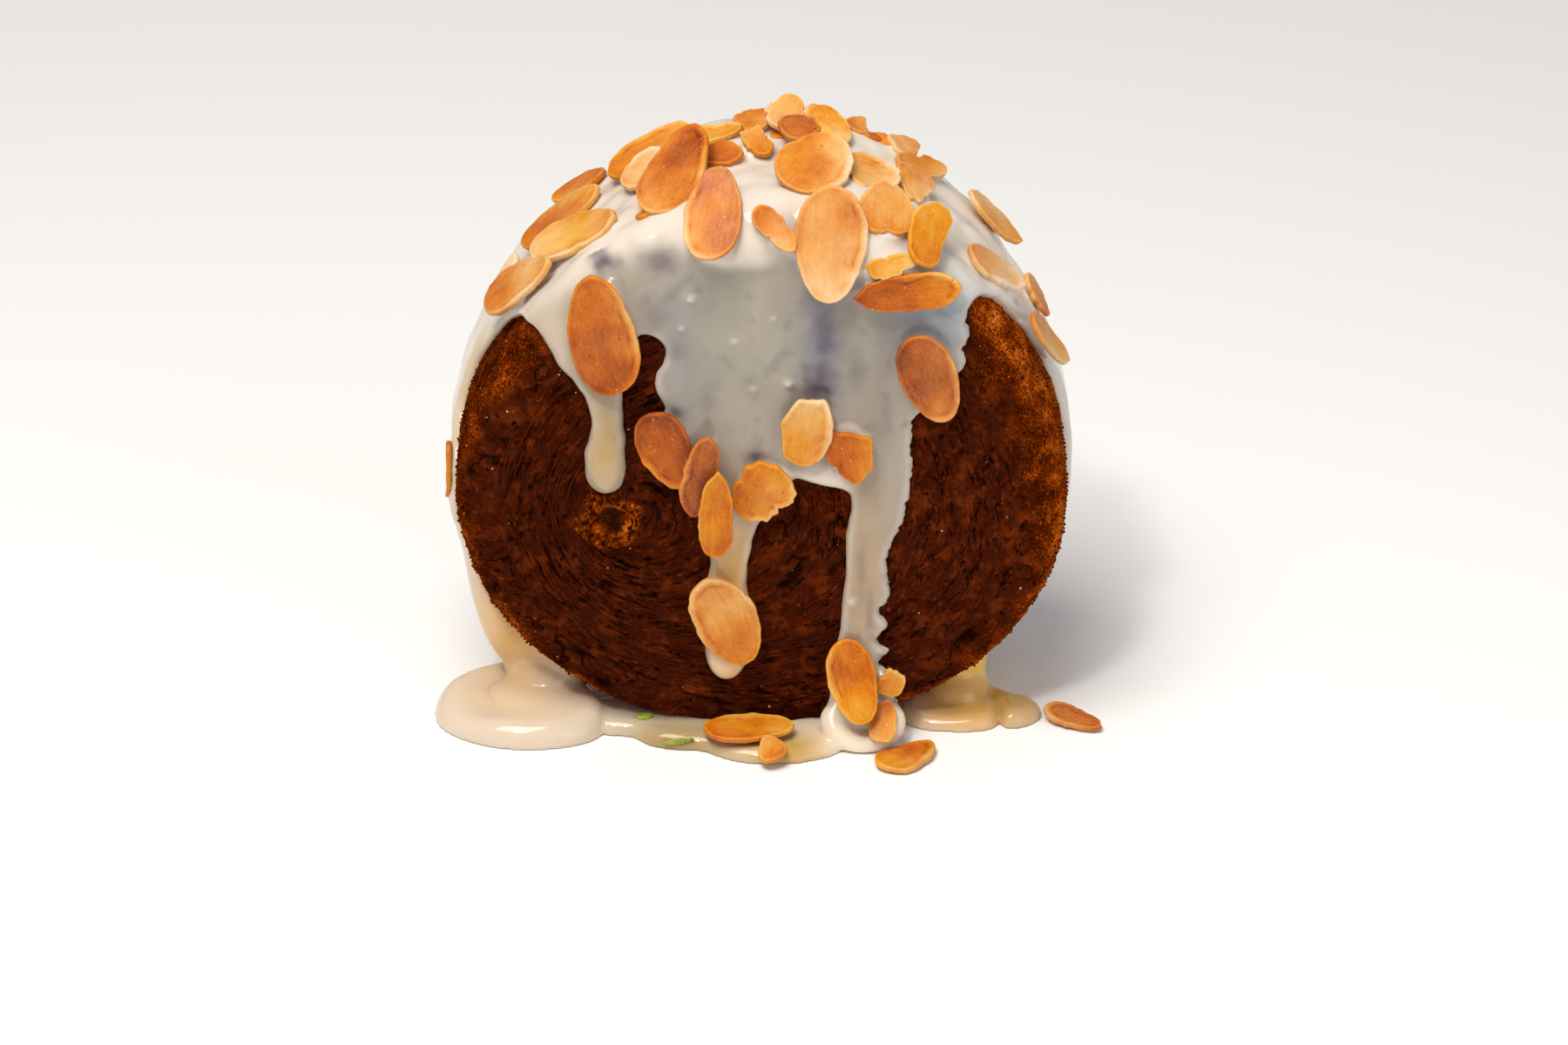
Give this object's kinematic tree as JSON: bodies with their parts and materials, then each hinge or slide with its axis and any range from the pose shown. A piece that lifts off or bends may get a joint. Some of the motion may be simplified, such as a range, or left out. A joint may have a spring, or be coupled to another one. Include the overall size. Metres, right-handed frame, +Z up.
{
  "type": "new york roll",
  "caption": "Round laminated pastry roll standing on its rim, with white icing running down to puddles and toasted almond slices.",
  "frame": {"origin": "middle of the small flat spot on the rim that the roll rests on", "axes": "+Z up, the front spiral face looks along -Y, +X to the right when looking at that face"},
  "size_m": [0.111, 0.0641, 0.1014],
  "materials": {
    "dough": "baked, rough",
    "icing": "wet gloss",
    "almond_pale": "toasted, satin",
    "almond_golden": "toasted, satin",
    "almond_brown": "toasted, satin"
  },
  "bodies": {
    "root": {"roll": "dough", "icing": "icing", "almond_01": "almond_golden", "almond_02": "almond_brown", "almond_03": "almond_golden", "almond_04": "almond_pale", "almond_05": "almond_brown", "almond_06": "almond_golden", "almond_07": "almond_pale", "almond_08": "almond_brown", "almond_09": "almond_golden", "almond_10": "almond_brown", "almond_11": "almond_golden", "almond_12": "almond_golden", "almond_13": "almond_golden", "almond_14": "almond_brown", "almond_15": "almond_golden", "almond_16": "almond_pale", "almond_17": "almond_pale", "almond_18": "almond_brown", "almond_19": "almond_pale", "almond_20": "almond_pale", "almond_21": "almond_golden", "almond_22": "almond_golden", "almond_23": "almond_pale", "almond_24": "almond_golden", "almond_25": "almond_pale", "almond_26": "almond_pale", "almond_27": "almond_golden", "almond_28": "almond_golden", "almond_29": "almond_golden", "almond_30": "almond_pale", "almond_31": "almond_golden", "almond_32": "almond_pale", "almond_33": "almond_brown", "almond_34": "almond_golden", "almond_35": "almond_brown", "almond_36": "almond_golden", "almond_37": "almond_golden", "almond_38": "almond_golden", "almond_39": "almond_golden", "almond_40": "almond_brown", "almond_41": "almond_golden", "almond_42": "almond_pale", "almond_43": "almond_golden", "almond_44": "almond_golden", "almond_45": "almond_brown", "almond_46": "almond_golden", "almond_47": "almond_pale", "almond_48": "almond_golden", "almond_49": "almond_brown", "almond_50": "almond_golden", "almond_51": "almond_golden", "almond_52": "almond_golden", "almond_53": "almond_pale", "almond_54": "almond_golden", "almond_55": "almond_golden", "almond_56": "almond_pale"}
  },
  "joints": []
}
